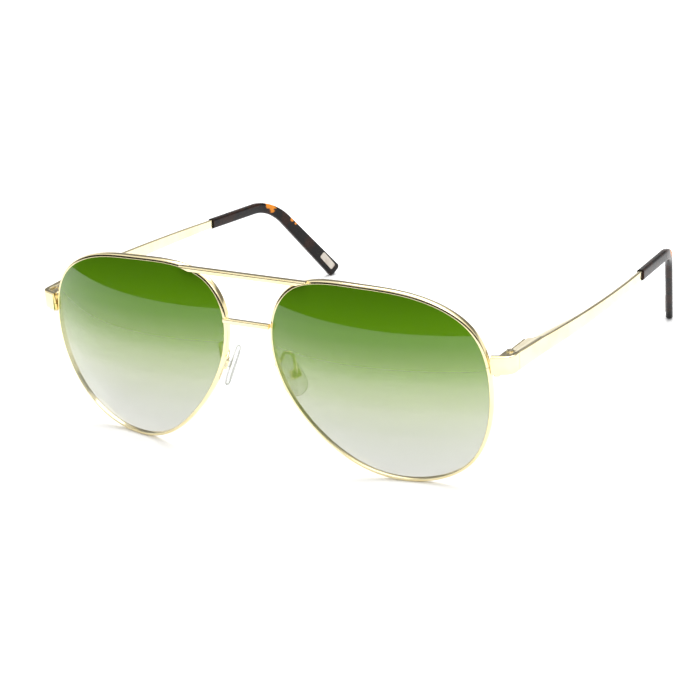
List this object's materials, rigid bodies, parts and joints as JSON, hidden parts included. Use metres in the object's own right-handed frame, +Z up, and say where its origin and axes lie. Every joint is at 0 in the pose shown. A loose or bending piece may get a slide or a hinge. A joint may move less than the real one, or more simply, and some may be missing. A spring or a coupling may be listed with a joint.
{
  "type": "aviator sunglasses",
  "caption": "Metal aviator sunglasses with double bridge, gradient lenses, sprung folding temples and rocking nose pads.",
  "frame": {"origin": "on the surface that the glasses stand on, under the middle of their box", "axes": "+X across the face to the wearer's left, +Y back along the temples, +Z up"},
  "size_m": [0.1464, 0.1482, 0.0541],
  "materials": {
    "gold_wire": "polished pale gold plating",
    "gold_parts": "polished pale gold plating",
    "gold_temple": "polished pale gold plating",
    "screw_steel": "gold-tinted steel",
    "hinge_steel": "satin steel",
    "spring_steel": "bright spring wire",
    "lens_tint": "gradient green tint, dark at the top and nearly clear at the bottom",
    "tip_acetate": "polished dark tortoiseshell acetate",
    "inlay": "plain pale inlay",
    "pad_clear": "clear soft silicone"
  },
  "bodies": {
    "front": {"bridge": "gold_wire", "top_bar": "gold_wire", "left_rim": "gold_wire", "left_lens": "lens_tint", "left_upper_closing_block": "gold_parts", "left_lower_closing_block": "gold_parts", "left_closing_screw": "screw_steel", "left_end_piece": "gold_parts", "left_hinge_leaf": "gold_parts", "left_hinge_screw": "screw_steel", "left_pad_arm": "gold_wire", "left_pad_box": "gold_parts", "left_pad_screw": "screw_steel", "right_rim": "gold_wire", "right_lens": "lens_tint", "right_upper_closing_block": "gold_parts", "right_lower_closing_block": "gold_parts", "right_closing_screw": "screw_steel", "right_end_piece": "gold_parts", "right_hinge_leaf": "gold_parts", "right_hinge_screw": "screw_steel", "right_pad_arm": "gold_wire", "right_pad_box": "gold_parts", "right_pad_screw": "screw_steel"},
    "left_slider": {"left_hinge_slider": "hinge_steel", "left_slider_nut": "hinge_steel"},
    "left_temple": {"left_hinge_case": "gold_parts", "left_case_plug": "gold_parts", "left_hinge_spring": "spring_steel", "left_temple": "gold_temple", "left_temple_tip": "tip_acetate", "left_tip_inlay": "inlay"},
    "left_pad": {"left_nose_pad": "pad_clear"},
    "right_slider": {"right_hinge_slider": "hinge_steel", "right_slider_nut": "hinge_steel"},
    "right_temple": {"right_hinge_case": "gold_parts", "right_case_plug": "gold_parts", "right_hinge_spring": "spring_steel", "right_temple": "gold_temple", "right_temple_tip": "tip_acetate", "right_tip_inlay": "inlay"},
    "right_pad": {"right_nose_pad": "pad_clear"}
  },
  "joints": [
    {"name": "left_temple_fold", "type": "hinge", "parent": "front", "child": "left_slider", "pos_m": [0.0686, -0.05883, 0.03517], "axis": [0, 0, 1], "range_deg": [0, 78]},
    {"name": "left_spring_slide", "type": "slide", "parent": "left_slider", "child": "left_temple", "axis": [0, 1, 0], "range_m": [0, 0.0012], "stiffness_N_per_m": 1500, "springref_m": -0.001, "deforming": ["left_hinge_spring"]},
    {"name": "left_pad_rock", "type": "hinge", "parent": "front", "child": "left_pad", "pos_m": [0.01086, -0.06653, 0.02569], "axis": [-0.4594, -0.876, -0.1471], "range_deg": [-10, 10]},
    {"name": "right_temple_fold", "type": "hinge", "parent": "front", "child": "right_slider", "pos_m": [-0.0686, -0.05883, 0.03517], "axis": [0, 0, -1], "range_deg": [0, 86]},
    {"name": "right_spring_slide", "type": "slide", "parent": "right_slider", "child": "right_temple", "axis": [0, 1, 0], "range_m": [0, 0.0012], "stiffness_N_per_m": 1500, "springref_m": -0.001, "deforming": ["right_hinge_spring"]},
    {"name": "right_pad_rock", "type": "hinge", "parent": "front", "child": "right_pad", "pos_m": [-0.01086, -0.06653, 0.02569], "axis": [0.4594, -0.876, -0.1471], "range_deg": [-10, 10]}
  ]
}
